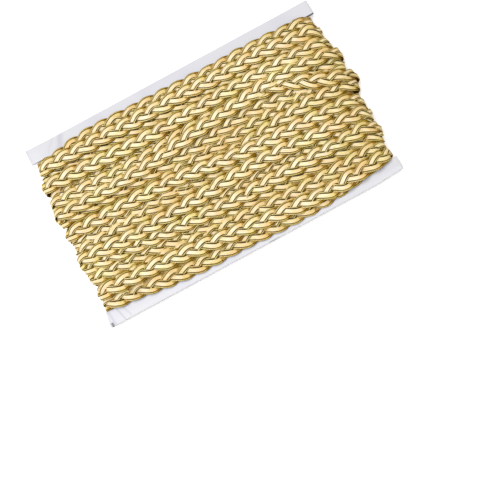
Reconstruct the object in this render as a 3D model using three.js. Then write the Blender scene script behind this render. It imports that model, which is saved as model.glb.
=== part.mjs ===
// A metallic braid trim wound lengthwise on a notched white card, lying on its back.
//
// Millimetres. +X runs along the card, +Y across it, +Z up. The origin is under the middle of the
// part, on the surface that it lies on. The bends stand out further at the right than at the left,
// so the middle of the card lies a little to the left of the origin.
//
// The card is one flat board with a wide notch in each short end. The trim is a closed sleeve round
// the board between the notches. Each turn of the trim is a raised ridge on the sleeve's front, and
// one on its back, and the ridges lie over and beside each other as the turns do. The crossings of
// the plait are too many to be raised here.

import * as THREE from 'three';

// The card
const CARD_LENGTH = 154;
const CARD_WIDTH = 96.2;
const CARD_THICKNESS = 1.5;
const NOTCH_DEPTH = 6.5;
const EAR_HEIGHT = 7.6;
const CORNER_ROUND = 0.8;
const CORNER_STEPS = 4;

// The trim: a flat plait of this width and thickness, and how far one layer lies above the next
const TRIM_WIDTH = 8.3;
const TRIM_THICKNESS = 2.6;
const LAYER_RISE = 1.9;
const BENT_WIDTH = 6.5;
const CORE_HEIGHT = 1.0;

// Room between the card and the trim
const CLEARANCE = 0.3;

// The turns leave the flat of the card here, and bend round its end
const BEND_START = 70;
const BEND_STEPS = 6;
const FLAT_STEPS = 16;
const CORE_REACH = 72.4;

// The middle of the board lies this far above the surface that the back rests on
const CARD_LIFT = 5.3;

// The trim lies inside the notches, clear of the ears
const THROAT = CARD_WIDTH / 2 - EAR_HEIGHT - CLEARANCE;
const BENT_LIMIT = THROAT - BENT_WIDTH / 2;
const CARD_CLEAR = CARD_THICKNESS / 2 + CLEARANCE;
const TUNNEL_END = CARD_LENGTH / 2 - NOTCH_DEPTH + CLEARANCE;

// The places along the card where each turn's position is given
const STATIONS = [-70, -46, -24, 0, 24, 46, 70];

// One row for each turn, by name, from the card's top edge down, as it lies on the front:
//   y       its centre line at each of the stations
//   layer   how high it lies at the left end, the middle and the right end: 0 is on the card
//   left    how far its bend stands out past the card's middle, at the left end
//   right   the same at the right end
//   next    the turn that its run across the back leads into
const TURNS = {
  a: { y: [36.5, 39, 39, 38.5, 38.5, 38.5, 37.5], layer: [0, 0, 0], left: 74, right: 73.8, next: 'c' },
  b: { y: [35, 35, 34.5, 34.5, 34, 34, 31.5], layer: [1, 1, 1], left: 74.6, right: 75.5, next: 'a' },
  c: { y: [32, 32, 31.5, 31.5, 31.5, 31.5, 29.5], layer: [0, 0, 0], left: 74.5, right: 74.5, next: 'f' },
  d: { y: [26, 24.5, 24, 24.5, 25.5, 25.5, 25], layer: [1, 1, 1], left: 77, right: 76, next: 'b' },
  e: { y: [17, 16, 16, 17.5, 17.5, 15.5, 5.5], layer: [0.7, 0.6, 1.3], left: 77, right: 79.4, next: 'd' },
  f: { y: [16.5, 15.5, 15.5, 16, 15, 14.5, 14], layer: [0, 0, 0], left: 75.5, right: 77, next: 'h' },
  g: { y: [10.5, 10.5, 11.5, 14.5, 17, 19.5, 18.5], layer: [1, 1.2, 1.2], left: 77.8, right: 78.3, next: 'e' },
  h: { y: [8, 8, 8.5, 9.5, 11.5, 10, 9], layer: [0, 0.1, 0], left: 76.5, right: 77, next: 'i' },
  i: { y: [3.5, 4, 5, 5, 5, 5.5, 5], layer: [0, 0, 0], left: 76, right: 77, next: 'k' },
  j: { y: [-0.5, 0, -0.5, -3, -5.5, -6.5, -7], layer: [1, 1, 1], left: 77, right: 76, next: 'g' },
  k: { y: [-3, -3, -3, -2.5, -1, 1, 1], layer: [0, 0.1, 0.6], left: 75.5, right: 78, next: 'l' },
  l: { y: [-8.5, -7.5, -6.5, -6.5, -7, -7.5, -8], layer: [0, 0, 0], left: 76, right: 75.5, next: 'o' },
  m: { y: [-14.5, -15, -14.5, -13.5, -13, -14, -14.5], layer: [1.3, 1, 1], left: 77.3, right: 76.7, next: 'j' },
  n: { y: [-18, -20, -22, -23.5, -23, -23, -22.5], layer: [0.6, 0.9, 1], left: 76.7, right: 76.7, next: 'm' },
  o: { y: [-24, -25, -26.5, -27, -27, -26.5, -26.5], layer: [0, 0, 0], left: 76, right: 76, next: 'p' },
  p: { y: [-31, -31, -31, -32, -33.5, -33.5, -33], layer: [0, 0, 0.1], left: 75, right: 74.3, next: 'r' },
  q: { y: [-33, -34.5, -36.5, -38.5, -40.5, -41.5, -39.5], layer: [1, 1, 1], left: 75.7, right: 74.6, next: 'n' },
  r: { y: [-38, -40.5, -42.5, -43, -43.5, -42.5, -39], layer: [0, 0, 0], left: 75.5, right: 75, next: 'q' },
};

const ALL_TURNS = Object.values(TURNS);

// The lines of the sleeve's mesh follow the edges of the winding and the crowns of these turns,
// with this many strips between each one and the one before it
const GUIDES = [
  { turn: 'b', strips: 7 },
  { turn: 'd', strips: 8 },
  { turn: 'g', strips: 11 },
  { turn: 'j', strips: 13 },
  { turn: 'm', strips: 9 },
  { turn: 'n', strips: 6 },
  { turn: 'q', strips: 11 },
];
const LAST_STRIPS = 5;

function mix(from, to, share) {
  return from + (to - from) * share;
}

function clamp(value, limit) {
  return Math.max(-limit, Math.min(limit, value));
}

// A smooth curve through values given at the stations
function along(values, x) {
  const last = values.length - 1;
  let index = 0;
  while (index < last - 1 && x > STATIONS[index + 1]) {
    index += 1;
  }
  const width = STATIONS[index + 1] - STATIONS[index];
  const t = (x - STATIONS[index]) / width;
  const before = values[Math.max(index - 1, 0)];
  const start = values[index];
  const end = values[index + 1];
  const after = values[Math.min(index + 2, last)];
  const slopeStart = (end - before) / 2;
  const slopeEnd = (after - start) / 2;
  const t2 = t * t;
  const t3 = t2 * t;
  return (
    (2 * t3 - 3 * t2 + 1) * start +
    (t3 - 2 * t2 + t) * slopeStart +
    (3 * t2 - 2 * t3) * end +
    (t3 - t2) * slopeEnd
  );
}

function frontLayer(turn, x) {
  const [left, middle, right] = turn.layer;
  const share = x / BEND_START;
  return share < 0 ? mix(middle, left, -share) : mix(middle, right, share);
}

// Where a turn bends round the left and right ends of the card
function leftBend(turn) {
  return clamp(turn.y[0], BENT_LIMIT);
}

function rightBend(turn) {
  return clamp(turn.y[turn.y.length - 1], BENT_LIMIT);
}

// A turn's run across the back, from its own right bend to the next turn's left bend
function backLine(turn, x) {
  const share = (BEND_START - x) / (2 * BEND_START);
  return mix(rightBend(turn), leftBend(TURNS[turn.next]), share);
}

function backLayer(turn, x) {
  const share = (BEND_START - x) / (2 * BEND_START);
  return mix(turn.layer[2], TURNS[turn.next].layer[0], share);
}

// The rounded back of a ridge: 1 at its crown and 0 at and past its edges
function ridge(offset, width) {
  const share = (2 * offset) / width;
  return Math.sqrt(Math.max(0, 1 - share * share));
}

// How far the winding's surface lies from the middle of the board, on the front or on the back
function surfaceHeight(lineOf, layerOf, x, y) {
  let height = CARD_CLEAR + CORE_HEIGHT;
  for (const turn of ALL_TURNS) {
    const offset = y - lineOf(turn, x);
    if (Math.abs(offset) < TRIM_WIDTH / 2) {
      const centre = CARD_CLEAR + TRIM_THICKNESS / 2 + layerOf(turn, x) * LAYER_RISE;
      height = Math.max(height, centre + (TRIM_THICKNESS / 2) * ridge(offset, TRIM_WIDTH));
    }
  }
  return height;
}

function frontHeight(x, y) {
  return surfaceHeight((turn, at) => along(turn.y, at), frontLayer, x, y);
}

function backHeight(x, y) {
  return Math.min(surfaceHeight(backLine, backLayer, x, y), CARD_LIFT);
}

// How far the bends stand out along the card, at one end
function bendReach(bendOf, reachOf, y) {
  let reach = CORE_REACH;
  for (const turn of ALL_TURNS) {
    const offset = y - bendOf(turn);
    if (Math.abs(offset) < BENT_WIDTH / 2) {
      const drop = (TRIM_THICKNESS / 2) * (1 - ridge(offset, BENT_WIDTH));
      reach = Math.max(reach, reachOf(turn) - drop);
    }
  }
  return reach;
}

// The places across the front, from the top edge of the winding to its bottom edge, for one x
function linesAcross(lineOf, x, width) {
  const crowns = ALL_TURNS.map((turn) => lineOf(turn, x));
  const marks = [
    Math.max(...crowns) + width / 2,
    ...GUIDES.map((guide) => lineOf(TURNS[guide.turn], x)),
    Math.min(...crowns) - width / 2,
  ];
  const strips = [...GUIDES.map((guide) => guide.strips), LAST_STRIPS];
  const places = [marks[0]];
  strips.forEach((count, index) => {
    for (let step = 1; step <= count; step += 1) {
      places.push(mix(marks[index], marks[index + 1], step / count));
    }
  });
  return places;
}

function frontLoops() {
  const loops = [];
  for (let step = 0; step <= FLAT_STEPS; step += 1) {
    const x = mix(-BEND_START, BEND_START, step / FLAT_STEPS);
    const places = linesAcross((turn, at) => along(turn.y, at), x, TRIM_WIDTH);
    const outer = places.map((y) => [x, y, frontHeight(x, y)]);
    const inner = [places[0], places[places.length - 1]].map((y) => [x, y, CARD_CLEAR]);
    loops.push({ outer, inner });
  }
  return loops;
}

function backLoops(leftPlaces, rightPlaces) {
  const loops = [];
  for (let step = 0; step <= FLAT_STEPS; step += 1) {
    const share = step / FLAT_STEPS;
    const x = mix(BEND_START, -BEND_START, share);
    const places = rightPlaces.map((y, index) => mix(y, leftPlaces[index], share));
    const outer = places.map((y) => [x, y, -backHeight(x, y)]);
    const inner = [places[0], places[places.length - 1]].map((y) => [x, y, -CARD_CLEAR]);
    loops.push({ outer, inner });
  }
  return loops;
}

// The bend round one end: side is 1 at the right and -1 at the left
function bendLoops(front, back, places, side, reachAt) {
  const loops = [];
  for (let step = 1; step < BEND_STEPS; step += 1) {
    const angle = (Math.PI / 2) * (1 - (2 * step) / BEND_STEPS);
    const from = angle > 0 ? front : back;
    const turned = Math.sin(Math.abs(angle)) ** 2;
    const outer = places.map((place, index) => {
      const [, flatY, flatZ] = from.outer[index];
      const y = mix(place, flatY, angle > 0 ? turned : 0);
      const x = side * (BEND_START + (reachAt(place) - BEND_START) * Math.cos(angle));
      return [x, y, flatZ * Math.sin(Math.abs(angle))];
    });
    const innerZ = CARD_CLEAR * (1 - (2 * step) / BEND_STEPS);
    const inner = [places[0], places[places.length - 1]].map((y) => [side * TUNNEL_END, y, innerZ]);
    loops.push({ outer, inner });
  }
  return side > 0 ? loops : loops.reverse();
}

function sleeveLoops() {
  const front = frontLoops();
  const rightPlaces = linesAcross((turn) => rightBend(turn), 0, BENT_WIDTH);
  const leftPlaces = linesAcross((turn) => leftBend(turn), 0, BENT_WIDTH);
  const back = backLoops(leftPlaces, rightPlaces);
  const rightReach = (y) => bendReach(rightBend, (turn) => turn.right, y);
  const leftReach = (y) => bendReach(leftBend, (turn) => turn.left, y);
  const rightBendLoops = bendLoops(front[FLAT_STEPS], back[0], rightPlaces, 1, rightReach);
  const leftBendLoops = bendLoops(front[0], back[FLAT_STEPS], leftPlaces, -1, leftReach);
  return [...front, ...rightBendLoops, ...back, ...leftBendLoops];
}

// Each loop is closed on itself: across the outer surface, then back along the tunnel's wall
function closedSleeve(loops) {
  const rings = loops.map(({ outer, inner }) => [...outer, inner[1], inner[0]]);
  const size = rings[0].length;
  const positions = rings.flat(2);
  const faces = [];
  rings.forEach((ring, index) => {
    const here = index * size;
    const there = ((index + 1) % rings.length) * size;
    for (let point = 0; point < size; point += 1) {
      const beside = (point + 1) % size;
      faces.push(here + point, here + beside, there + point);
      faces.push(here + beside, there + beside, there + point);
    }
  });
  const geometry = new THREE.BufferGeometry();
  geometry.setAttribute('position', new THREE.Float32BufferAttribute(positions, 3));
  geometry.setIndex(faces);
  geometry.computeVertexNormals();
  return geometry;
}

// The board's outline, from its lower left corner round, with the corners of the ears rounded
function cardOutline() {
  const halfLength = CARD_LENGTH / 2;
  const halfWidth = CARD_WIDTH / 2;
  const neck = halfLength - NOTCH_DEPTH;
  const shoulder = halfWidth - EAR_HEIGHT;
  const shape = new THREE.Shape();
  shape.moveTo(-halfLength + CORNER_ROUND, -halfWidth);
  shape.lineTo(halfLength - CORNER_ROUND, -halfWidth);
  shape.quadraticCurveTo(halfLength, -halfWidth, halfLength, -halfWidth + CORNER_ROUND);
  shape.lineTo(halfLength, -shoulder);
  shape.lineTo(neck, -shoulder);
  shape.lineTo(neck, shoulder);
  shape.lineTo(halfLength, shoulder);
  shape.lineTo(halfLength, halfWidth - CORNER_ROUND);
  shape.quadraticCurveTo(halfLength, halfWidth, halfLength - CORNER_ROUND, halfWidth);
  shape.lineTo(-halfLength + CORNER_ROUND, halfWidth);
  shape.quadraticCurveTo(-halfLength, halfWidth, -halfLength, halfWidth - CORNER_ROUND);
  shape.lineTo(-halfLength, shoulder);
  shape.lineTo(-neck, shoulder);
  shape.lineTo(-neck, -shoulder);
  shape.lineTo(-halfLength, -shoulder);
  shape.lineTo(-halfLength, -halfWidth + CORNER_ROUND);
  shape.quadraticCurveTo(-halfLength, -halfWidth, -halfLength + CORNER_ROUND, -halfWidth);
  return shape;
}

function makeCard() {
  const geometry = new THREE.ExtrudeGeometry(cardOutline(), {
    depth: CARD_THICKNESS,
    bevelEnabled: false,
    curveSegments: CORNER_STEPS,
  });
  geometry.translate(0, 0, -CARD_THICKNESS / 2);
  const material = new THREE.MeshStandardMaterial({ color: 0xe6e6f0, roughness: 0.55, metalness: 0 });
  const mesh = new THREE.Mesh(geometry, material);
  mesh.name = 'card';
  return mesh;
}

function makeWoundTrim() {
  const material = new THREE.MeshStandardMaterial({ color: 0xd3ad67, roughness: 0.38, metalness: 0.45 });
  const mesh = new THREE.Mesh(closedSleeve(sleeveLoops()), material);
  mesh.name = 'wound_trim';
  return mesh;
}

const furthestLeft = Math.max(...ALL_TURNS.map((turn) => turn.left));
const furthestRight = Math.max(...ALL_TURNS.map((turn) => turn.right));

const part = new THREE.Group();
part.add(makeCard());
part.add(makeWoundTrim());
part.position.set((furthestLeft - furthestRight) / 2, 0, CARD_LIFT);

export default part;
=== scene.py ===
"""A metallic braid trim wound lengthwise on a notched white card.

The trim is one long plait of three flat bands. Each band is satin, with a twisted metallic cord
along both its edges. The plait runs across the front of the card, round its right end, across the
back and round its left end into the next turn, until it closes on itself where its ends are tucked.
Sizes are in millimetres until a mesh, the camera or a light is made. The scale of a noise is per
metre, but per millimetre on the map of a band.
"""

import math

import bmesh
import bpy
import numpy as np
from mathutils import Matrix, Vector


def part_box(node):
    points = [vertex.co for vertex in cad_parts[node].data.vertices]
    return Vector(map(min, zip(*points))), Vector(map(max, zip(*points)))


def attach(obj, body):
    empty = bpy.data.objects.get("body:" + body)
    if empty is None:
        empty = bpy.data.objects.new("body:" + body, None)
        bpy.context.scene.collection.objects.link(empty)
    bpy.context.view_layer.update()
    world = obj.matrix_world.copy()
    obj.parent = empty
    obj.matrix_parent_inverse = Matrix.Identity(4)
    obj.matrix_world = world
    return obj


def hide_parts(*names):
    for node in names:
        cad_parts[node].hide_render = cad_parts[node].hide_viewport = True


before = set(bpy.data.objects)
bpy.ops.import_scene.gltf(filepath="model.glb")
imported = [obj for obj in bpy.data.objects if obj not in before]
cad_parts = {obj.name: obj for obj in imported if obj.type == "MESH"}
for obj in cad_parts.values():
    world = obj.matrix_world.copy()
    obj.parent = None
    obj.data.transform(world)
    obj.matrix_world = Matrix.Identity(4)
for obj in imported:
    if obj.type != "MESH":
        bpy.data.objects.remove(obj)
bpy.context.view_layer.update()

MM = 0.001
BODY = "root"

# The card, with ears of this height above and below its notches
CARD_LENGTH = 154
CARD_WIDTH = 96.2
CARD_THICKNESS = 1.5
EAR_HEIGHT = 7.6

# The trim, the room between it and the card, and how far a turn that crosses others is lifted
TRIM_WIDTH = 8.3
TRIM_THICKNESS = 2.6
CLEARANCE = 0.3
LAYER_RISE = 1.9
CARD_CLEAR = CARD_THICKNESS / 2 + CLEARANCE

# The back is pressed flat by what the card lies on: how far behind the board's middle the trim's middle
# may lie, and the least height of any point of it
BACK_DEPTH = 3.4
FLOOR_GAP = 0.02

# The bends round the card's ends: where they start, how narrow the trim is pulled there, how far from the
# card's middle it still fits in the notch, how far it slips down as it goes round the right end, and how
# far it stands out past the reach in the table of turns
BEND_START = 70.0
BENT_WIDTH = 6.5
BENT_LIMIT = CARD_WIDTH / 2 - EAR_HEIGHT - CLEARANCE - BENT_WIDTH / 2
RIGHT_SLIP = 2.4
LEFT_SWELL = 1.3
RIGHT_SWELL = 1.0
BEND_STEPS = 40
PATH_STEP = 0.35

# How dark the trim is painted at the card's ends and on its back, and from which x outwards: painted shade
# on the back and round the left end, and a darker, browner tone at the right end
LEFT_END_SHADE = 0.3
RIGHT_END_DARKENING = 1.5
BACK_SHADE = 0.5
END_DARKENING_START = 50.0

# One row for each turn, by name, from the card's top edge down, as it lies on the front:
#   y       its centre line at each of the stations
#   layer   how high it lies at the left end, the middle and the right end: 0 is on the card
#   left    how far its bend stands out past the card's middle, at the left end
#   right   the same at the right end
STATIONS = np.array([-70.0, -46.0, -24.0, 0.0, 24.0, 46.0, 70.0])
TURNS = {
    "a": dict(y=[36.5, 39, 39, 38.5, 38.5, 38.5, 37.5], layer=[0, 0, 0], left=74, right=73.8),
    "b": dict(y=[35, 35, 34.5, 34.5, 34, 34, 31.5], layer=[1, 1, 1], left=74.6, right=75.5),
    "c": dict(y=[32, 32, 31.5, 31.5, 31.5, 31.5, 29.5], layer=[0, 0, 0], left=74.5, right=74.5),
    "d": dict(y=[26, 24.5, 24, 24.5, 25.5, 25.5, 25], layer=[1, 1, 1], left=77, right=76),
    "e": dict(y=[17, 16, 16, 17.5, 17.5, 15.5, 5.5], layer=[0.7, 0.4, 1.4], left=77, right=79.4),
    "f": dict(y=[20.5, 20, 20, 20.5, 20, 18, 14], layer=[0, 0, 0], left=75.5, right=77),
    "g": dict(y=[10.5, 10.5, 11.5, 14.5, 17, 19.5, 18.5], layer=[1, 1.4, 1.2], left=77.8, right=78.3),
    "h": dict(y=[8, 8, 8.5, 9.5, 11.5, 10, 9], layer=[0.3, 0.2, 0], left=76.5, right=77),
    "i": dict(y=[1, 1, 2, 4, 5, 5.5, 5], layer=[0, 0, 0], left=76, right=77),
    "j": dict(y=[-0.5, 0, -0.5, -3, -5.5, -6.5, -7], layer=[1, 1, 1], left=77, right=76),
    "k": dict(y=[-4.5, -4.5, -4, -2.5, -1, 1, 1], layer=[0, 0.1, 0.6], left=75.5, right=78),
    "l": dict(y=[-8.5, -7.5, -6.5, -6.5, -7.5, -8.5, -9], layer=[0, 0, 0], left=76, right=75.5),
    "m": dict(y=[-14.5, -15, -14.5, -13.5, -13, -14, -14.5], layer=[1.3, 1, 1], left=77.3, right=76.7),
    "s": dict(y=[-16, -17, -18.2, -18.6, -18.2, -18, -18], layer=[0, 0, 0], left=75.5, right=75.5),
    "n": dict(y=[-18, -20, -22, -23.5, -23, -23, -22.5], layer=[0.6, 0.9, 1], left=76.7, right=76.7),
    "o": dict(y=[-24, -25, -26.5, -27, -27, -26.5, -26.5], layer=[0, 0, 0], left=76, right=76),
    "p": dict(y=[-31, -31, -31, -32, -33.5, -33.5, -33], layer=[0, 0, 0.1], left=75, right=74.3),
    "q": dict(y=[-32.2, -33.3, -35.4, -37.8, -39.8, -40.6, -38.6], layer=[1, 1, 1], left=75.7, right=74.6),
    "r": dict(y=[-38, -40.3, -42.1, -42.6, -43.1, -41.8, -38.2], layer=[0, 0, 0], left=75.5, right=75),
}

# The order of the turns along the trim: down the card in the low ones, and back up in the high ones
WINDING_ORDER = "acfhiklsoprqnmjgedb"

# The plait: its three bands swing this far to each side of the middle and above and below it, and bank
STRANDS = 3
PLAIT_PITCH = 8.18
BAND_SWING = 2.35
BAND_LIFT = 0.72
BAND_BANK = math.radians(14)
STEPS_PER_PITCH = 10

# The band's section, from its middle to its right edge: a crowned satin strip, a sewn groove, a round cord.
# The three kinds of surface are also the slots of the trim's materials
SATIN = 0
CORD = 1
GROOVE = 2
SATIN_POINTS = [(0.0, 0.4), (0.48, 0.39), (0.85, 0.35), (0.97, 0.18)]
GROOVE_POINT = (1.06, -0.12)
CORD_CENTRE = (1.48, 0.06)
CORD_RADIUS = 0.35
CORD_ANGLES = [165, 115, 65, 15, -35, -90]
UNDERSIDE = -0.38

# The stages of a half turn of a band, from 0 where it comes up at the middle: it dives, and rises again
DIVE_START = 0.2
DIVE_END = 0.62
RISE_START = 0.85

# How soon a band counts as being at one side of the plait, once it has left the middle
INNER_SPREAD = 1.5

# The UV map of a band: how far along it, and across it or round its cord
BAND_UV = "band"

# The sockets of a Mix node that hold its factor and two colours, and the mixed colour
MIX_INPUTS = (0, 6, 7)
MIX_OUTPUT = 2

# How unevenly the turns and their bands lie
UNEVEN_SEED = 7
UNEVEN_LENGTH = 31.0
UNEVEN_SIDE = 0.22
UNEVEN_ROLL = math.radians(6)
BAND_UNEVEN_LENGTH = 5.0
BAND_UNEVEN_SIDE = 0.13
BAND_UNEVEN_LIFT = 0.08
BAND_UNEVEN_BANK = math.radians(11)
FEWEST_KNOTS = 4

# The sleeve of hidden inner turns: its room to the card, how far its edges lie inside those of the turns
# and of the bends, how far its ends stand out, its thickness, and how finely it is divided
CORE_ROOM = 0.9
CORE_INSET = 1.2
CORE_BENT_INSET = 0.6
CORE_HEIGHT = CARD_CLEAR + CORE_ROOM
CORE_LIMIT = BENT_LIMIT + BENT_WIDTH / 2 - CORE_BENT_INSET
CORE_REACH = 4.5
CORE_THICKNESS = 0.4
CORE_STEPS = 30
CORE_BEND_STEPS = 10
CORE_STRIPS = 40

# The board: points and faces that are merged, edges that are softened, and the grid that lets it bend
BOARD_WELD = 0.01
BOARD_FLAT_ANGLE = math.radians(1)
BOARD_RIM_ANGLE = math.radians(30)
BOARD_ROUNDING = 0.18
BOARD_CUT = 3.0
BOARD_FACE_NORMAL = 0.6

# How the ears bend: from this x outwards and this y outwards, by this much up and sideways at the corner
EARS = [
    dict(x=-62, y=40, lift=0.7, slide=(0, 0)),
    dict(x=-66, y=-41, lift=-0.5, slide=(-0.9, 0)),
    dict(x=66, y=40, lift=0.35, slide=(0, 0)),
    dict(x=60, y=-41, lift=0.5, slide=(0, 0.8)),
]

# Creases on the board, dented and painted with shade, and dark strokes of painted shade on its edges and
# corners, from its middle: where, how far the stroke leans from upright, half its width, half its length and
# how deep it is
CREASES = [
    dict(x=-75.4, y=-44.0, lean=6, wide=1.1, long=6, depth=0.5),
    dict(x=-70.9, y=-43.5, lean=14, wide=0.8, long=6, depth=0.6),
    dict(x=-67.9, y=-43.0, lean=18, wide=0.7, long=6, depth=0.45),
    dict(x=-60.2, y=43.5, lean=-24, wide=2.6, long=7, depth=0.5),
    dict(x=-64.5, y=45.5, lean=-40, wide=1.2, long=5, depth=0.2),
]
EDGE_SHADE_MARKS = [
    dict(x=-76.4, y=-47.5, lean=0, wide=1.2, long=1.6, depth=0.95),
    dict(x=76.9, y=-47.9, lean=-35, wide=1.0, long=1.4, depth=0.95),
    dict(x=74.2, y=40.5, lean=90, wide=0.6, long=4.5, depth=1.0),
    dict(x=8.5, y=-48.1, lean=90, wide=0.5, long=3.0, depth=0.5),
]
STROKE_CORE = 0.6

# Tables of shader values. Where nodes make the colour, the base colour shows only if they aren't drawn

# Satin: a band is pale and streaked where it comes up, brightened there as a painted highlight. Golden where
# it dives, brown where it has gone under the others and brown along its edges, all as painted shade
SATIN_SHADER = {
    "Base Color": (0.88, 0.76, 0.46, 1),
    "Roughness": 0.56,
    "Specular IOR Level": 0.22,
    "Specular Tint": (1.0, 0.88, 0.6, 1),
    "Anisotropic": 0.6,
    "Sheen Weight": 0.04,
    "Sheen Tint": (1.0, 0.85, 0.5, 1),
    "Sheen Roughness": 0.4,
}
SATIN_LIT_STREAKS = [(0.36, (0.72, 0.56, 0.26)), (0.47, (0.86, 0.765, 0.55)), (0.64, (0.89, 0.81, 0.68))]
SATIN_DIVE_SHADE = (0.80, 0.62, 0.26)
SATIN_UNDER_SHADE = (0.27, 0.13, 0.005)
SATIN_EDGE_SHADE = (0.25, 0.13, 0.006)
SATIN_EDGE_SHADE_RANGE = (0.79, 0.95)
STREAK_STRETCH = (0.35, 2.1, 1.0)
STREAK_DETAIL = 3.0
FILAMENT_SPACING = 0.24
FILAMENT_SHARE = 0.6
RIB_SPACING = 0.42
RIB_SHARE = 0.4
SATIN_RELIEF = 0.05

# Cord: three plies twisted together, darkest between the plies as painted shade. It is painted with shade
# down its flanks and at its root, which is deepest on the band's inner side, and as it dives and goes under.
# Places round it are shares of a turn, from its outer side up and over to the satin
CORD_SHADER = {
    "Base Color": (0.95, 0.75, 0.32, 1),
    "Roughness": 0.34,
    "Metallic": 0.4,
    "Specular IOR Level": 0.15,
    "Specular Tint": (1.0, 0.72, 0.25, 1),
}
CORD_LIT_PLIES = [
    (0.0, (0.22, 0.12, 0.01)),
    (0.25, (0.88, 0.67, 0.20)),
    (0.6, (1.0, 0.88, 0.38)),
    (1.0, (1.0, 0.94, 0.56)),
]
CORD_DIVE_SHADE = (0.64, 0.44, 0.05)
CORD_UNDER_SHADE = (0.27, 0.135, 0.006)
CORD_FLANK_SHADE_OUTER = (0.12, 0.055, 0.004)
CORD_FLANK_SHADE_INNER = (0.03, 0.016, 0.002)
CORD_FLANK_SHADE_RANGE = (0.0, 0.14)
CORD_ROOT_SHADE = (0.014, 0.009, 0.001)
CORD_ROOT_SHADE_RANGE = (0.22, 0.29)
ROOT_SHADE_LEAST = 0.4
ROOT_SHADE_INNER = 0.55
PLY_SPACING = 0.6
PLIES = 3
CORD_RELIEF = 0.12

# The sewn groove between them, with a stitch for each ply, painted dark as shade, darkest on the band's
# inner side
GROOVE_SHADER = {
    "Base Color": (0.3, 0.2, 0.05, 1),
    "Roughness": 0.6,
    "Metallic": 0.3,
    "Specular IOR Level": 0.05,
    "Specular Tint": (1.0, 0.6, 0.15, 1),
}
GROOVE_SHADE_OUTER = [(0.0, (0.02, 0.012, 0.001)), (1.0, (0.07, 0.038, 0.004))]
GROOVE_SHADE_INNER = (0.012, 0.008, 0.001)
GROOVE_RELIEF = 0.1

# What all bands share: where a dive counts as under the others and how much of that painted shade it then
# has, warmer and greener places, and the tint that darkens turns that lie low, the back and the ends:
# painted shade, and a darker, browner tone at the right end
# Where a diving band is painted with the shade of going under the others, and how strongly
UNDER_SHADE_RANGE = (0.85, 1.0)
UNDER_SHADE_MOST = 0.75
TINTS = [(0.3, (1.0, 0.86, 0.70)), (0.5, (1.0, 0.98, 0.96)), (0.7, (0.95, 0.98, 0.76))]
TINT_SCALE = 160.0
SATIN_TINT = 0.9
CORD_TINT = 0.5
DARKENING_TINT = (0.84, 0.77, 0.57)
DARKENING_SHARE = 0.5

# The hidden inner turns, coloured dark brown as painted shade in the gaps between the turns that show
CORE_SHADER = {"Base Color": (0.36, 0.22, 0.05, 1), "Roughness": 0.6, "Metallic": 0.2}
CORE_SHADE_COLOURS = [(0.35, (0.14, 0.075, 0.012)), (0.65, (0.46, 0.29, 0.07))]
CORE_GRAIN_SCALE = 1400.0
CORE_RELIEF = 0.2

# The coated board and its cut edge
BOARD_SHADER = {"Base Color": (0.56, 0.56, 0.6, 1), "Roughness": 0.42}
BOARD_COLOURS = [(0.3, (0.50, 0.50, 0.56)), (0.5, (0.53, 0.535, 0.58)), (0.7, (0.545, 0.555, 0.58))]
BOARD_BLOTCH_SCALE = 45.0
# Painted shade in the creases, and darker painted shade on the board's edges and corners
BOARD_CREASE_SHADE = (0.36, 0.355, 0.44)
BOARD_EDGE_SHADE = (0.06, 0.055, 0.06)
BOARD_GRAIN_SCALE = 900.0
BOARD_GRAIN_DETAIL = 4.0
BOARD_GRAIN_SHARE = 0.15
BOARD_RELIEF = 0.12
BOARD_RELIEF_STRENGTH = 0.6
CUT_EDGE_SHADER = {"Base Color": (0.42, 0.41, 0.43, 1), "Roughness": 0.8}
CUT_EDGE_COLOURS = [(0.3, (0.52, 0.51, 0.54)), (0.7, (0.68, 0.67, 0.71))]
CUT_EDGE_STRETCH = (300.0, 300.0, 3000.0)
CUT_EDGE_RELIEF = 0.08

# The floor, the soft light above it and the light from all round, in metres and watts
FLOOR_SHADER = {
    "Base Color": (0.93, 0.93, 0.93, 1),
    "Roughness": 0.7,
    "Specular IOR Level": 0.2,
    "Emission Color": (1, 1, 1, 1),
    "Emission Strength": 0.2,
}
FLOOR_SIZE = 6
KEY_PLACE = (-0.26, -0.08, 1.4)
KEY_SIZE = 1.1
KEY_POWER = 26.7
AMBIENT_COLOUR = (1, 0.95, 0.86, 1)
AMBIENT_STRENGTH = 0.3

# The camera, found from the card's four corners in the photograph's 488 by 478 frame
FRAME_WIDTH = 488
FOCAL_PIXELS = 1100
SENSOR_WIDTH = 36.0
CAMERA_PLACE = (-0.27, -147.0, 507.06)
CAMERA_RIGHT = (0.88005, -0.46299, -0.10559)
CAMERA_UP = (0.47481, 0.86184, 0.17828)
CAMERA_NEAR = 10
CAMERA_FAR = 20000


def card_middle():
    """The middle of the board, from the frame's card."""
    low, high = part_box("card")
    return np.array((low + high) / 2) / MM


def along(values, x):
    """A smooth curve through values given at the stations."""
    values = np.asarray(values, float)
    index = np.clip(np.searchsorted(STATIONS, x, side="right") - 1, 0, len(values) - 2)
    t = (x - STATIONS[index]) / (STATIONS[index + 1] - STATIONS[index])
    before = values[np.maximum(index - 1, 0)]
    start = values[index]
    end = values[index + 1]
    after = values[np.minimum(index + 2, len(values) - 1)]
    slope_start = (end - before) / 2
    slope_end = (after - start) / 2
    return (
        (2 * t**3 - 3 * t**2 + 1) * start
        + (t**3 - 2 * t**2 + t) * slope_start
        + (3 * t**2 - 2 * t**3) * end
        + (t**3 - t**2) * slope_end
    )


def layer_height(layer):
    """How far a turn's middle lies in front of the middle of the board."""
    return CARD_CLEAR + TRIM_THICKNESS / 2 + np.asarray(layer) * LAYER_RISE


def back_height(layer):
    """How far it lies behind the middle of the board."""
    return np.minimum(layer_height(layer), BACK_DEPTH)


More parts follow.
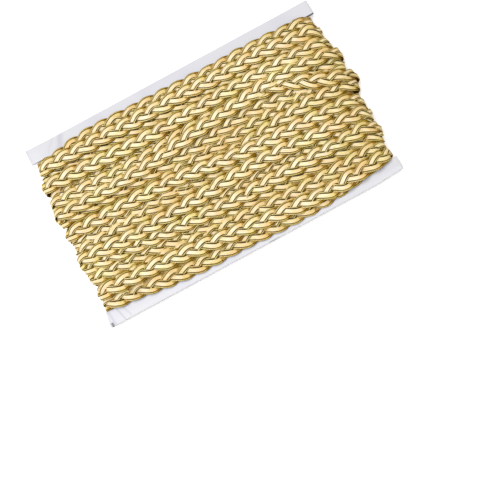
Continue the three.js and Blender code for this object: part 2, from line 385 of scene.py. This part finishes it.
def bend_y(turn, end):
    """Where a turn bends round the card: end is 0 at the left and -1 at the right, where it slips down."""
    slip = RIGHT_SLIP if end == -1 else 0
    return float(np.clip(turn["y"][end] - slip, -BENT_LIMIT, BENT_LIMIT))


def front_run(turn):
    """A turn's way across the front, as rows of x, y, height, how narrow it is and how dark it is painted.
    """
    x = np.arange(-BEND_START, BEND_START, PATH_STEP)
    layer = np.interp(x, [-BEND_START, 0, BEND_START], turn["layer"])
    share = np.clip((np.abs(x) - END_DARKENING_START) / (BEND_START - END_DARKENING_START), 0, 1)
    # How dark it is painted: shade where the turn lies low, blending near the bends into the darkening of
    # each end
    low = np.clip(1 - layer, 0, 1) * (1 - share) + np.where(x > 0, RIGHT_END_DARKENING, LEFT_END_SHADE) * share
    return np.column_stack([x, along(turn["y"], x), layer_height(layer), np.ones_like(x), low])


def back_run(turn, following):
    """Its way across the back to the following turn, in the same kind of rows."""
    x = np.arange(BEND_START, -BEND_START, -PATH_STEP)
    share = (BEND_START - x) / (2 * BEND_START)
    y = bend_y(turn, -1) * (1 - share) + bend_y(following, 0) * share
    height = back_height(turn["layer"][2] * (1 - share) + following["layer"][0] * share)
    return np.column_stack([x, y, -height, np.ones_like(x), np.full_like(x, BACK_SHADE)])


def bend(turn, side):
    """The half turn round one end: side is 1 at the right, going down, and -1 at the left, going up."""
    right = side == 1
    end = -1 if right else 0
    reach = turn["right"] + RIGHT_SWELL if right else turn["left"] + LEFT_SWELL
    swell = reach - TRIM_THICKNESS / 2 - BEND_START
    angle = np.linspace(math.pi / 2, -math.pi / 2, BEND_STEPS)[:-1] * side
    x = side * (BEND_START + swell * np.cos(angle))
    front = layer_height(turn["layer"][end])
    back = back_height(turn["layer"][end])
    height = np.where(angle > 0, front, back) * np.sin(angle)
    turned = np.sin(angle) ** 2
    side_y = bend_y(turn, end)
    y = np.where(angle > 0, side_y * (1 - turned) + turn["y"][end] * turned, side_y)
    narrow = 1 - (1 - BENT_WIDTH / TRIM_WIDTH) * np.cos(angle)
    low = np.full_like(x, RIGHT_END_DARKENING if right else LEFT_END_SHADE)
    return np.column_stack([x, y, height, narrow, low])


def whole_path():
    """Every point of the trim's middle line, with how narrow the trim is there and how dark it is painted.
    """
    parts = []
    for name, next_name in zip(WINDING_ORDER, WINDING_ORDER[1:] + WINDING_ORDER[:1]):
        turn = TURNS[name]
        following = TURNS[next_name]
        parts.append(front_run(turn))
        parts.append(bend(turn, 1))
        parts.append(back_run(turn, following))
        parts.append(bend(following, -1))
    return np.vstack(parts)


def distances(path):
    """How far along the closed path each of its points is, and its whole length at the end."""
    closed = np.vstack([path, path[:1]])
    lengths = np.linalg.norm(np.diff(closed[:, :3], axis=0), axis=1)
    return np.concatenate([[0], np.cumsum(lengths)])


def resampled(path, count):
    """The closed path at evenly spaced places."""
    closed = np.vstack([path, path[:1]])
    travelled = distances(path)
    places = np.linspace(0, travelled[-1], count, endpoint=False)
    return np.column_stack([np.interp(places, travelled, column) for column in closed.T])


def smooth_noise(count, spacing, rng):
    """A closed, slowly changing run of values of about 1."""
    knots = max(FEWEST_KNOTS, int(count / spacing))
    values = rng.normal(0, 1, knots)
    place = np.arange(count) / count * knots
    index = place.astype(int)
    share = place - index
    share = share * share * (3 - 2 * share)
    return values[index % knots] * (1 - share) + values[(index + 1) % knots] * share


def unit(vectors):
    return vectors / np.linalg.norm(vectors, axis=1, keepdims=True)


def square_to(vectors, directions):
    """Unit vectors as near to these as they can be at right angles to the directions."""
    return unit(vectors - directions * np.sum(vectors * directions, axis=1, keepdims=True))


def path_frames(points, roll):
    """The trim's direction, the way across it and the way out of it, at every place."""
    tangent = unit(np.roll(points, -1, axis=0) - np.roll(points, 1, axis=0))
    across = square_to(np.tile([0.0, 1.0, 0.0], (len(points), 1)), tangent)
    out = np.cross(tangent, across)
    turned = across * np.cos(roll)[:, None] + out * np.sin(roll)[:, None]
    return tangent, turned, np.cross(tangent, turned)


def band_section():
    """The band's outline as rows of across, out, kind and place: round from the middle of its top."""
    half = [(across, rise, SATIN, across) for across, rise in SATIN_POINTS]
    half.append((*GROOVE_POINT, GROOVE, 0))
    for angle in CORD_ANGLES:
        a = math.radians(angle)
        across = CORD_CENTRE[0] + CORD_RADIUS * math.cos(a)
        half.append((across, CORD_CENTRE[1] + CORD_RADIUS * math.sin(a), CORD, angle / 360))
    left = []
    for across, rise, kind, place in half[:0:-1]:
        left.append((-across, rise, kind, place if kind == CORD else -place))
    return np.array(half + [(0, UNDERSIDE, SATIN, 0)] + left)


def band_angle(count, strand):
    """How far a band has gone round its swing from edge to edge, at every place."""
    return 2 * math.pi * (np.arange(count) / (STRANDS * STEPS_PER_PITCH) - strand / STRANDS)


def band_way(points, frames, narrow, strand, pitch, rng):
    """One band's middle, the way across it and the way out of it, at every place of its way."""
    tangent, across, out = frames
    count = len(points)
    theta = band_angle(count, strand)
    spacing = BAND_UNEVEN_LENGTH / (pitch / STEPS_PER_PITCH)
    side = BAND_SWING * np.cos(theta) * narrow + smooth_noise(count, spacing, rng) * BAND_UNEVEN_SIDE
    lift = -BAND_LIFT * np.sin(2 * theta) + smooth_noise(count, spacing, rng) * BAND_UNEVEN_LIFT
    centre = points + across * side[:, None] + out * lift[:, None]
    rate = 2 * math.pi / (STRANDS * pitch)
    lean = -BAND_SWING * np.sin(theta) * narrow * rate
    climb = -2 * BAND_LIFT * np.cos(2 * theta) * rate
    forward = unit(tangent + across * lean[:, None] + out * climb[:, None])
    width = square_to(across, forward)
    normal = np.cross(forward, width)
    bank = -BAND_BANK * np.cos(theta) * np.sign(lift) * np.abs(lift / BAND_LIFT) ** 0.5
    bank += smooth_noise(count, spacing, rng) * BAND_UNEVEN_BANK
    wide = width * np.cos(bank)[:, None] + normal * np.sin(bank)[:, None]
    return centre, wide, np.cross(forward, wide)


def band_rings(way, narrow):
    """One band's rings of points: its section carried along its way through the plait."""
    centre, wide, high = way
    section = band_section()
    u = section[:, 0][None, :, None] * narrow[:, None, None]
    n = section[:, 1][None, :, None]
    rings = centre[:, None, :] + wide[:, None, :] * u + high[:, None, :] * n
    rings[:, :, 2] = np.maximum(rings[:, :, 2], FLOOR_GAP)
    return rings


def band_dive(count, strand):
    """How far a band has dived at every place: 0 where it comes up at the middle, 1 where it goes under."""
    stage = (band_angle(count, strand) / math.pi + 0.5) % 1
    dive = np.clip((stage - DIVE_START) / (DIVE_END - DIVE_START), 0, 1)
    rise = np.clip((1 - stage) / (1 - RISE_START), 0, 1)
    return np.repeat(np.minimum(dive, rise)[:, None], len(band_section()), axis=1)


def band_inner(count, strand):
    """How much each point of a band lies on the side that faces the plait's middle, at every place."""
    swing = np.cos(band_angle(count, strand))
    side = np.sign(band_section()[:, 0])
    return np.clip(-side[None, :] * swing[:, None] * INNER_SPREAD, 0, 1)


def section_faces():
    """For each side of the section: its material, and the UV places of its two ends."""
    section = band_section()
    following = np.roll(section, -1, axis=0)
    kinds = section[:, 2].astype(int)
    following_kinds = following[:, 2].astype(int)
    cord = (kinds == CORD) & (following_kinds == CORD)
    first = np.where(cord, section[:, 3], section[:, 0])
    second = np.where(cord, following[:, 3], following[:, 0])
    return np.where(kinds == following_kinds, kinds, GROOVE), first, second


def tube_faces(count, travelled):
    """The corners, UV places and materials of one tube's sides."""
    kinds, first, second = section_faces()
    size = len(kinds)
    steps = np.arange(count - 1)[:, None] * size
    here = steps + np.arange(size)
    beside = steps + (np.arange(size) + 1) % size
    quads = np.stack([here, here + size, beside + size, beside], axis=-1)
    start = np.repeat(travelled[:-1, None], size, axis=1)
    end = np.repeat(travelled[1:, None], size, axis=1)
    left = np.repeat(first[None, :], count - 1, axis=0)
    right = np.repeat(second[None, :], count - 1, axis=0)
    lengthways = np.stack([start, end, end, start], axis=-1)
    across = np.stack([left, left, right, right], axis=-1)
    places = np.stack([lengthways, across], axis=-1)
    return quads.reshape(-1, 4), places.reshape(-1, 2), np.tile(kinds, count - 1)


def tube_caps(count, size):
    """The faces that close one tube's two ends."""
    ring = np.arange(size)
    return np.stack([ring, (count - 1) * size + ring[::-1]])


def add_object(name, data):
    obj = bpy.data.objects.new(name, data)
    bpy.context.scene.collection.objects.link(obj)
    return obj


def add_faces(mesh, quads, caps, kinds):
    """Gives a mesh its sides and end caps, with the material of each."""
    corners = np.concatenate([quads.reshape(-1), caps.reshape(-1)])
    side_starts = np.arange(len(quads)) * quads.shape[1]
    cap_starts = quads.size + np.arange(len(caps)) * caps.shape[1]
    starts = np.concatenate([side_starts, cap_starts])
    mesh.loops.add(len(corners))
    mesh.loops.foreach_set("vertex_index", corners.astype(np.int32))
    mesh.polygons.add(len(starts))
    mesh.polygons.foreach_set("loop_start", starts.astype(np.int32))
    mesh.polygons.foreach_set("material_index", kinds.astype(np.int32))
    mesh.polygons.foreach_set("use_smooth", np.ones(len(starts), bool))
    mesh.update(calc_edges=True)


def make_tubes(name, rings, traits, travelled, materials):
    """Bands as closed tubes, each a stack of rings, with named traits that have a value for each point."""
    count, size = rings[0].shape[:2]
    sides, places, kinds = tube_faces(count, travelled)
    starts = np.arange(len(rings)) * count * size
    quads = np.vstack([sides + start for start in starts])
    caps = np.vstack([tube_caps(count, size) + start for start in starts])
    mesh = bpy.data.meshes.new(name)
    mesh.vertices.add(len(rings) * count * size)
    mesh.vertices.foreach_set("co", (np.stack(rings) * MM).astype(np.float32).reshape(-1))
    add_faces(mesh, quads, caps, np.concatenate([np.tile(kinds, len(rings)), np.full(len(caps), SATIN)]))
    uv = np.vstack([np.tile(places, (len(rings), 1)), np.zeros((caps.size, 2))])
    layer = mesh.uv_layers.new(name=BAND_UV)
    layer.data.foreach_set("uv", uv.astype(np.float32).reshape(-1))
    for trait, values in traits.items():
        attribute = mesh.attributes.new(trait, "FLOAT", "POINT")
        attribute.data.foreach_set("value", np.stack(values).astype(np.float32).reshape(-1))
    for material in materials:
        mesh.materials.append(material)
    return add_object(name, mesh)


def uneven_path(even, length, rng):
    """The path's points, as unevenly as the trim lies, and the plait's directions there."""
    count = len(even)
    spacing = UNEVEN_LENGTH / (length / count)
    roll = smooth_noise(count, spacing, rng) * UNEVEN_ROLL
    points = even[:, :3].copy()
    points[:, 1] += smooth_noise(count, spacing, rng) * UNEVEN_SIDE
    return points + card_middle(), path_frames(points, roll)


def band_traits(even):
    """What the materials read at every point of the bands, by the name of the attribute."""
    count = len(even)
    # How dark each point is painted: shade where its turn lies low, on the back and round the ends
    low = np.repeat(even[:, 4][:, None], len(band_section()), axis=1)
    return {
        "dive": [band_dive(count, strand) for strand in range(STRANDS)],
        "inner": [band_inner(count, strand) for strand in range(STRANDS)],
        "low": [low] * STRANDS,
    }


def make_trim(materials):
    """The plait along the whole path, in one piece for each turn, parted at the middle of the back."""
    path = whole_path()
    length = distances(path)[-1]
    periods = round(length / PLAIT_PITCH)
    count = periods * STEPS_PER_PITCH
    even = resampled(path, count)
    rng = np.random.default_rng(UNEVEN_SEED)
    points, frames = uneven_path(even, length, rng)
    narrow = even[:, 3]
    bands = []
    for strand in range(STRANDS):
        way = band_way(points, frames, narrow, strand, length / periods, rng)
        bands.append(band_rings(way, narrow))
    traits = band_traits(even)
    pieces = []
    for number, (start, end) in enumerate(turn_breaks(even)):
        index = np.arange(start, end + 1)
        rings = stretch_of(bands, index, count)
        values = {trait: stretch_of(whole, index, count) for trait, whole in traits.items()}
        pieces.append(make_tubes(f"turn_{number + 1:02d}", rings, values, index * length / count, materials))
    return pieces


def stretch_of(bands, index, count):
    """The bands' values at these places. Past the path's end each goes on as the band that meets it."""
    shift = (count // STEPS_PER_PITCH) % STRANDS
    past = index >= count
    stretches = []
    for strand, own in enumerate(bands):
        partner = bands[(strand - shift) % STRANDS]
        values = own[index % count]
        values[past] = partner[index[past] % count]
        stretches.append(values)
    return stretches


def turn_breaks(even):
    """The stretches from one crossing of the back's middle to the next."""
    behind = even[:, 2] < 0
    x = even[:, 0]
    crossing = np.nonzero(behind & (x > 0) & (np.roll(x, -1) <= 0))[0]
    ends = np.append(crossing[1:], crossing[0] + len(even))
    return list(zip(crossing, ends))


def core_bend(side, top, bottom):
    """The sleeve round one end: side is 1 at the right, going down, and -1 at the left, going up."""
    rows = []
    for angle in np.linspace(math.pi / 2, -math.pi / 2, CORE_BEND_STEPS)[1:-1] * side:
        turned = max(0, math.sin(angle)) ** 2
        x = side * (BEND_START + CORE_REACH * math.cos(angle))
        upper = CORE_LIMIT * (1 - turned) + top * turned
        lower = -CORE_LIMIT * (1 - turned) + bottom * turned
        rows.append((x, CORE_HEIGHT * math.sin(angle), upper, lower))
    return rows


def core_loop():
    """The sleeve's way round the card, as rows of x, height and the y of its two edges."""
    x = np.linspace(-BEND_START, BEND_START, CORE_STEPS)
    lines = [along(turn["y"], x) for turn in TURNS.values()]
    tops = np.max(lines, axis=0) + TRIM_WIDTH / 2 - CORE_INSET
    bottoms = np.min(lines, axis=0) - TRIM_WIDTH / 2 + CORE_INSET
    front = [(place, CORE_HEIGHT, top, bottom) for place, top, bottom in zip(x, tops, bottoms)]
    back = [(place, -CORE_HEIGHT, CORE_LIMIT, -CORE_LIMIT) for place in x[::-1]]
    return front + core_bend(1, tops[-1], bottoms[-1]) + back + core_bend(-1, tops[0], bottoms[0])


def make_core(material):
    """The hidden inner turns, as one sleeve under those that show."""
    loop = core_loop()
    middle = card_middle()
    vertices = []
    for x, height, top, bottom in loop:
        for y in np.linspace(top, bottom, CORE_STRIPS + 1):
            vertices.append(tuple((np.array([x, y, height]) + middle) * MM))
    faces = []
    row = CORE_STRIPS + 1
    for index in range(len(loop)):
        here = index * row
        there = ((index + 1) % len(loop)) * row
        for step in range(CORE_STRIPS):
            faces.append((here + step, here + step + 1, there + step + 1, there + step))
    mesh = bpy.data.meshes.new("inner_turns")
    mesh.from_pydata(vertices, [], faces)
    mesh.update()
    mesh.materials.append(material)
    core = add_object("inner_turns", mesh)
    thick = core.modifiers.new("thick", "SOLIDIFY")
    thick.thickness = CORE_THICKNESS * MM
    thick.offset = 0
    return core


def ease(value):
    value = min(max(value, 0.0), 1.0)
    return value * value * (3 - 2 * value)


def ear_shift(x, y):
    """How far a point of the board is moved and bent up."""
    total = np.zeros(3)
    for ear in EARS:
        outward = ease((x - ear["x"]) * math.copysign(1, ear["x"]) / (CARD_LENGTH / 2 - abs(ear["x"])))
        sideward = ease((y - ear["y"]) * math.copysign(1, ear["y"]) / (CARD_WIDTH / 2 - abs(ear["y"])))
        total += np.array([*ear["slide"], ear["lift"]]) * outward * sideward
    return total


def softened(plain):
    """The plain board's mesh with its flat faces whole and its edges rounded."""
    made = bmesh.new()
    made.from_mesh(plain.data)
    made.transform(plain.matrix_world)
    bmesh.ops.remove_doubles(made, verts=made.verts[:], dist=BOARD_WELD * MM)
    bmesh.ops.dissolve_limit(made, angle_limit=BOARD_FLAT_ANGLE, verts=made.verts[:], edges=made.edges[:])
    rim = [edge for edge in made.edges if edge.calc_face_angle(0) > BOARD_RIM_ANGLE]
    bmesh.ops.bevel(made, geom=rim, offset=BOARD_ROUNDING * MM, segments=2, affect="EDGES", profile=0.5)
    return made


def cut_in_grid(made, low, high):
    """Cuts a mesh along evenly spaced planes, so that it can bend."""
    for axis in (0, 1):
        normal = Vector((0, 0, 0))
        normal[axis] = 1
        for step in range(1, int((high[axis] - low[axis]) / MM / BOARD_CUT) + 1):
            place = Vector((0, 0, 0))
            place[axis] = low[axis] + step * BOARD_CUT * MM
            parts = made.verts[:] + made.edges[:] + made.faces[:]
            bmesh.ops.bisect_plane(made, geom=parts, plane_co=place, plane_no=normal)


def finish_faces(made):
    """Splits faces of many corners. Coated ones are smooth and in the first slot, cut ones in the second."""
    bmesh.ops.triangulate(made, faces=[face for face in made.faces if len(face.verts) > 4])
    for face in made.faces:
        face.normal_update()
        coated = abs(face.normal.z) > BOARD_FACE_NORMAL
        face.material_index = 0 if coated else 1
        face.smooth = coated


def make_board(materials):
    """The notched board, a copy of the plain one with bent ears and softened edges."""
    low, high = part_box("card")
    middle = card_middle()
    made = softened(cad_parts["card"])
    cut_in_grid(made, low, high)
    finish_faces(made)
    mesh = bpy.data.meshes.new("board")
    made.to_mesh(mesh)
    made.free()
    for vertex in mesh.vertices:
        place = np.array(vertex.co) / MM - middle
        vertex.co = (place + ear_shift(place[0], place[1])) * MM
    for material in materials:
        mesh.materials.append(material)
    board = add_object("board", mesh)
    board.location = Vector(middle * MM)
    return board


def principled(name, values):
    """A new material, with these values on its shader's own sockets, and its node tree and shader."""
    material = bpy.data.materials.new(name)
    material.use_nodes = True
    shader = material.node_tree.nodes["Principled BSDF"]
    for socket, value in values.items():
        shader.inputs[socket].default_value = value
    return material, material.node_tree, shader


def node(tree, kind, **settings):
    made = tree.nodes.new(kind)
    for key, value in settings.items():
        setattr(made, key, value)
    return made


def feed(tree, value, socket):
    """Sets a socket to a number or a colour, or links another node's output to it."""
    if isinstance(value, tuple):
        socket.default_value = (*value, 1)
    elif isinstance(value, (int, float)):
        socket.default_value = value
    else:
        tree.links.new(value, socket)


def math_node(tree, operation, *values):
    made = node(tree, "ShaderNodeMath", operation=operation)
    for value, socket in zip(values, made.inputs):
        feed(tree, value, socket)
    return made.outputs[0]


def mix_colours(tree, factor, first, second, blend="MIX"):
    made = node(tree, "ShaderNodeMix", data_type="RGBA", blend_type=blend)
    for index, value in zip(MIX_INPUTS, (factor, first, second)):
        feed(tree, value, made.inputs[index])
    return made.outputs[MIX_OUTPUT]


def colour_ramp(tree, factor, stops):
    """The colour that a factor from 0 to 1 picks among these stops, each a position and a colour."""
    ramp = node(tree, "ShaderNodeValToRGB")
    elements = ramp.color_ramp.elements
    for element, (position, colour) in zip(elements[:], (stops[0], stops[-1])):
        element.position = position
        element.color = (*colour, 1)
    for position, colour in stops[1:-1]:
        elements.new(position).color = (*colour, 1)
    tree.links.new(factor, ramp.inputs[0])
    return ramp.outputs[0]


def ranged(tree, value, start, end, most=1.0):
    """0 up to the start, rising to the most at the end."""
    made = node(tree, "ShaderNodeMapRange")
    tree.links.new(value, made.inputs["Value"])
    made.inputs["From Min"].default_value = start
    made.inputs["From Max"].default_value = end
    made.inputs["To Max"].default_value = most
    return made.outputs[0]


def fade(tree, distance, full, none):
    """1 within the full distance, falling softly to 0 at the other."""
    made = node(tree, "ShaderNodeMapRange", interpolation_type="SMOOTHSTEP")
    tree.links.new(math_node(tree, "ABSOLUTE", distance), made.inputs["Value"])
    made.inputs["From Min"].default_value = full
    made.inputs["From Max"].default_value = none
    made.inputs["To Min"].default_value = 1
    made.inputs["To Max"].default_value = 0
    return made.outputs[0]


def bump(tree, shader, height, distance, strength=1.0):
    made = node(tree, "ShaderNodeBump")
    made.inputs["Distance"].default_value = distance * MM
    made.inputs["Strength"].default_value = strength
    tree.links.new(height, made.inputs["Height"])
    tree.links.new(made.outputs[0], shader.inputs["Normal"])


def object_places(tree):
    return node(tree, "ShaderNodeTexCoord").outputs["Object"]


def stretched(tree, places, scale):
    made = node(tree, "ShaderNodeMapping")
    made.inputs["Scale"].default_value = scale
    tree.links.new(places, made.inputs["Vector"])
    return made.outputs[0]


def noise(tree, places, scale=1.0, detail=2.0):
    made = node(tree, "ShaderNodeTexNoise")
    made.inputs["Scale"].default_value = scale
    made.inputs["Detail"].default_value = detail
    tree.links.new(places, made.inputs["Vector"])
    return made.outputs["Fac"]


def wave(tree, place, spacing):
    """A smooth ripple from 0 to 1 with that spacing."""
    turned = math_node(tree, "MULTIPLY", place, 2 * math.pi / spacing)
    half = math_node(tree, "MULTIPLY", math_node(tree, "SINE", turned), 0.5)
    return math_node(tree, "ADD", half, 0.5)


def trait_value(tree, trait):
    return node(tree, "ShaderNodeAttribute", attribute_name=trait).outputs["Fac"]


def band_map(tree):
    return node(tree, "ShaderNodeUVMap", uv_map=BAND_UV).outputs[0]


def band_places(tree):
    """How far along the band, in millimetres, and across it or round its cord."""
    parts = node(tree, "ShaderNodeSeparateXYZ")
    tree.links.new(band_map(tree), parts.inputs[0])
    return parts.outputs[0], parts.outputs[1]


def under_shade(tree):
    """How far a band has gone under the others, as the mask of its painted shade: 0 until it has nearly
    dived.
    """
    return ranged(tree, trait_value(tree, "dive"), *UNDER_SHADE_RANGE, UNDER_SHADE_MOST)


def toned_and_darkened(tree, colour, amount):
    """A colour with this much of the warmer and greener places, darker where the turn lies low as painted
    shade.
    """
    tint = colour_ramp(tree, noise(tree, object_places(tree), TINT_SCALE), TINTS)
    tinted = mix_colours(tree, amount, colour, tint, "MULTIPLY")
    # Painted shade where the turn lies low, on the back and at the left end; a darker, browner tone at the
    # right end
    low = math_node(tree, "MULTIPLY", trait_value(tree, "low"), DARKENING_SHARE)
    return mix_colours(tree, low, tinted, DARKENING_TINT, "MULTIPLY")


def satin_relief(tree):
    """The satin's filaments along the band and the ribs across them."""
    lengthways, across = band_places(tree)
    filaments = math_node(tree, "MULTIPLY", wave(tree, across, FILAMENT_SPACING), FILAMENT_SHARE)
    ribs = math_node(tree, "MULTIPLY", wave(tree, lengthways, RIB_SPACING), RIB_SHARE)
    return math_node(tree, "ADD", filaments, ribs)


def satin_colour(tree):
    streaks = noise(tree, stretched(tree, band_map(tree), STREAK_STRETCH), detail=STREAK_DETAIL)
    # The lit streaks carry a painted highlight. The dive, under and edge colours below are painted shade
    lit = colour_ramp(tree, streaks, SATIN_LIT_STREAKS)
    dive_shaded = mix_colours(tree, trait_value(tree, "dive"), lit, SATIN_DIVE_SHADE)
    crown = mix_colours(tree, under_shade(tree), dive_shaded, SATIN_UNDER_SHADE)
    across = math_node(tree, "ABSOLUTE", band_places(tree)[1])
    return mix_colours(tree, ranged(tree, across, *SATIN_EDGE_SHADE_RANGE), crown, SATIN_EDGE_SHADE)


def satin_material():
    material, tree, shader = principled("satin", SATIN_SHADER)
    tangent = node(tree, "ShaderNodeTangent", direction_type="UV_MAP", uv_map=BAND_UV)
    tree.links.new(tangent.outputs[0], shader.inputs["Tangent"])
    bump(tree, shader, satin_relief(tree), SATIN_RELIEF)
    colour = toned_and_darkened(tree, satin_colour(tree), SATIN_TINT)
    tree.links.new(colour, shader.inputs["Base Color"])
    return material


def cord_colour(tree, ply, around):
    """The plies' colours, with painted shade as the band dives, down the cord's flank and darkest at its
    root beside the groove.
    """
    inner = trait_value(tree, "inner")
    # The plies are darkest between them as painted shade. Then painted shade as it dives, goes under, down
    # the flank and at the root
    lit = colour_ramp(tree, ply, CORD_LIT_PLIES)
    dive_shaded = mix_colours(tree, trait_value(tree, "dive"), lit, CORD_DIVE_SHADE)
    top = mix_colours(tree, under_shade(tree), dive_shaded, CORD_UNDER_SHADE)
    flank = mix_colours(tree, inner, CORD_FLANK_SHADE_OUTER, CORD_FLANK_SHADE_INNER)
    outside = mix_colours(tree, ranged(tree, around, *CORD_FLANK_SHADE_RANGE), flank, top)
    depth = math_node(tree, "ADD", math_node(tree, "MULTIPLY", inner, ROOT_SHADE_INNER), ROOT_SHADE_LEAST)
    root = math_node(tree, "MULTIPLY", ranged(tree, around, *CORD_ROOT_SHADE_RANGE), depth)
    return mix_colours(tree, root, outside, CORD_ROOT_SHADE)


def cord_material():
    material, tree, shader = principled("gold_cord", CORD_SHADER)
    lengthways, around = band_places(tree)
    turns = math_node(tree, "DIVIDE", lengthways, PLY_SPACING)
    twist = math_node(tree, "ADD", turns, math_node(tree, "MULTIPLY", around, PLIES))
    ply = wave(tree, twist, 1.0)
    bump(tree, shader, ply, CORD_RELIEF)
    colour = toned_and_darkened(tree, cord_colour(tree, ply, around), CORD_TINT)
    tree.links.new(colour, shader.inputs["Base Color"])
    return material


def groove_material():
    material, tree, shader = principled("sewn_groove", GROOVE_SHADER)
    stitches = wave(tree, band_places(tree)[0], PLY_SPACING)
    bump(tree, shader, stitches, GROOVE_RELIEF)
    # The groove's dark colour is painted shade, darkest on the band's inner side
    outer = colour_ramp(tree, stitches, GROOVE_SHADE_OUTER)
    colour = mix_colours(tree, trait_value(tree, "inner"), outer, GROOVE_SHADE_INNER)
    tree.links.new(colour, shader.inputs["Base Color"])
    return material


def core_material():
    material, tree, shader = principled("inner_plait", CORE_SHADER)
    grain = noise(tree, object_places(tree), CORE_GRAIN_SCALE)
    bump(tree, shader, grain, CORE_RELIEF)
    # Dark brown as painted shade in the gaps between the turns that show
    tree.links.new(colour_ramp(tree, grain, CORE_SHADE_COLOURS), shader.inputs["Base Color"])
    return material


def board_distance(tree, x, y, lean):
    """How many millimetres each point of the board is from a leaning line through x, y."""
    parts = node(tree, "ShaderNodeSeparateXYZ")
    tree.links.new(object_places(tree), parts.inputs[0])
    a = math.radians(lean)
    first = math_node(tree, "MULTIPLY", parts.outputs[0], math.cos(a) / MM)
    second = math_node(tree, "MULTIPLY", parts.outputs[1], math.sin(a) / MM)
    total = math_node(tree, "ADD", first, second)
    return math_node(tree, "SUBTRACT", total, x * math.cos(a) + y * math.sin(a))


def board_marks(tree, marks):
    """The strongest of several marks on the board, each a soft-edged stroke."""
    total = None
    for mark in marks:
        across = fade(tree, board_distance(tree, mark["x"], mark["y"], mark["lean"]), 0, mark["wide"])
        lengthways = board_distance(tree, mark["x"], mark["y"], mark["lean"] + 90)
        within = fade(tree, lengthways, mark["long"] * STROKE_CORE, mark["long"])
        stroke = math_node(tree, "MULTIPLY", math_node(tree, "MULTIPLY", across, within), mark["depth"])
        total = stroke if total is None else math_node(tree, "MAXIMUM", total, stroke)
    return total


def card_material():
    material, tree, shader = principled("coated_board", BOARD_SHADER)
    grain = noise(tree, object_places(tree), BOARD_GRAIN_SCALE, BOARD_GRAIN_DETAIL)
    creases = board_marks(tree, CREASES)
    height = math_node(tree, "SUBTRACT", math_node(tree, "MULTIPLY", grain, BOARD_GRAIN_SHARE), creases)
    bump(tree, shader, height, BOARD_RELIEF, BOARD_RELIEF_STRENGTH)
    plain = colour_ramp(tree, noise(tree, object_places(tree), BOARD_BLOTCH_SCALE), BOARD_COLOURS)
    # Painted shade in the creases and on the edges and corners
    crease_shaded = mix_colours(tree, creases, plain, BOARD_CREASE_SHADE)
    marked = mix_colours(tree, board_marks(tree, EDGE_SHADE_MARKS), crease_shaded, BOARD_EDGE_SHADE)
    tree.links.new(marked, shader.inputs["Base Color"])
    return material


def cut_edge_material():
    material, tree, shader = principled("board_edge", CUT_EDGE_SHADER)
    plies = noise(tree, stretched(tree, object_places(tree), CUT_EDGE_STRETCH))
    bump(tree, shader, plies, CUT_EDGE_RELIEF)
    plain = colour_ramp(tree, plies, CUT_EDGE_COLOURS)
    # Painted shade on the edges and corners
    marked = mix_colours(tree, board_marks(tree, EDGE_SHADE_MARKS), plain, BOARD_EDGE_SHADE)
    tree.links.new(marked, shader.inputs["Base Color"])
    return material


def make_floor():
    bpy.ops.mesh.primitive_plane_add(size=FLOOR_SIZE, location=(0, 0, 0))
    floor = bpy.context.object
    floor.name = "floor"
    floor.data.materials.append(principled("pale_floor", FLOOR_SHADER)[0])


def make_lights():
    """A large soft light above the card, and an even light from all round."""
    data = bpy.data.lights.new("key", "AREA")
    data.shape = "RECTANGLE"
    data.size = KEY_SIZE
    data.size_y = KEY_SIZE
    data.energy = KEY_POWER
    key = add_object("key", data)
    key.location = KEY_PLACE
    key.rotation_euler = (-Vector(KEY_PLACE)).to_track_quat("-Z", "Y").to_euler()
    world = bpy.data.worlds.new("studio")
    world.use_nodes = True
    background = world.node_tree.nodes["Background"]
    background.inputs["Color"].default_value = AMBIENT_COLOUR
    background.inputs["Strength"].default_value = AMBIENT_STRENGTH
    bpy.context.scene.world = world


def make_camera():
    data = bpy.data.cameras.new("camera")
    data.sensor_width = SENSOR_WIDTH
    data.lens = SENSOR_WIDTH * FOCAL_PIXELS / FRAME_WIDTH
    data.clip_start = CAMERA_NEAR * MM
    data.clip_end = CAMERA_FAR * MM
    camera = add_object("camera", data)
    right = Vector(CAMERA_RIGHT).normalized()
    up = Vector(CAMERA_UP).normalized()
    turn = Matrix((right, up, right.cross(up))).transposed()
    camera.matrix_world = Matrix.Translation(Vector(CAMERA_PLACE) * MM) @ turn.to_4x4()
    bpy.context.scene.camera = camera


make_camera()
make_floor()
make_lights()
board = make_board([card_material(), cut_edge_material()])
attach(board, BODY)
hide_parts("card")
pieces = make_trim([satin_material(), cord_material(), groove_material()])
pieces.append(make_core(core_material()))
for piece in pieces:
    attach(piece, BODY)
    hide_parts("wound_trim")
bpy.context.scene.view_settings.view_transform = "Standard"
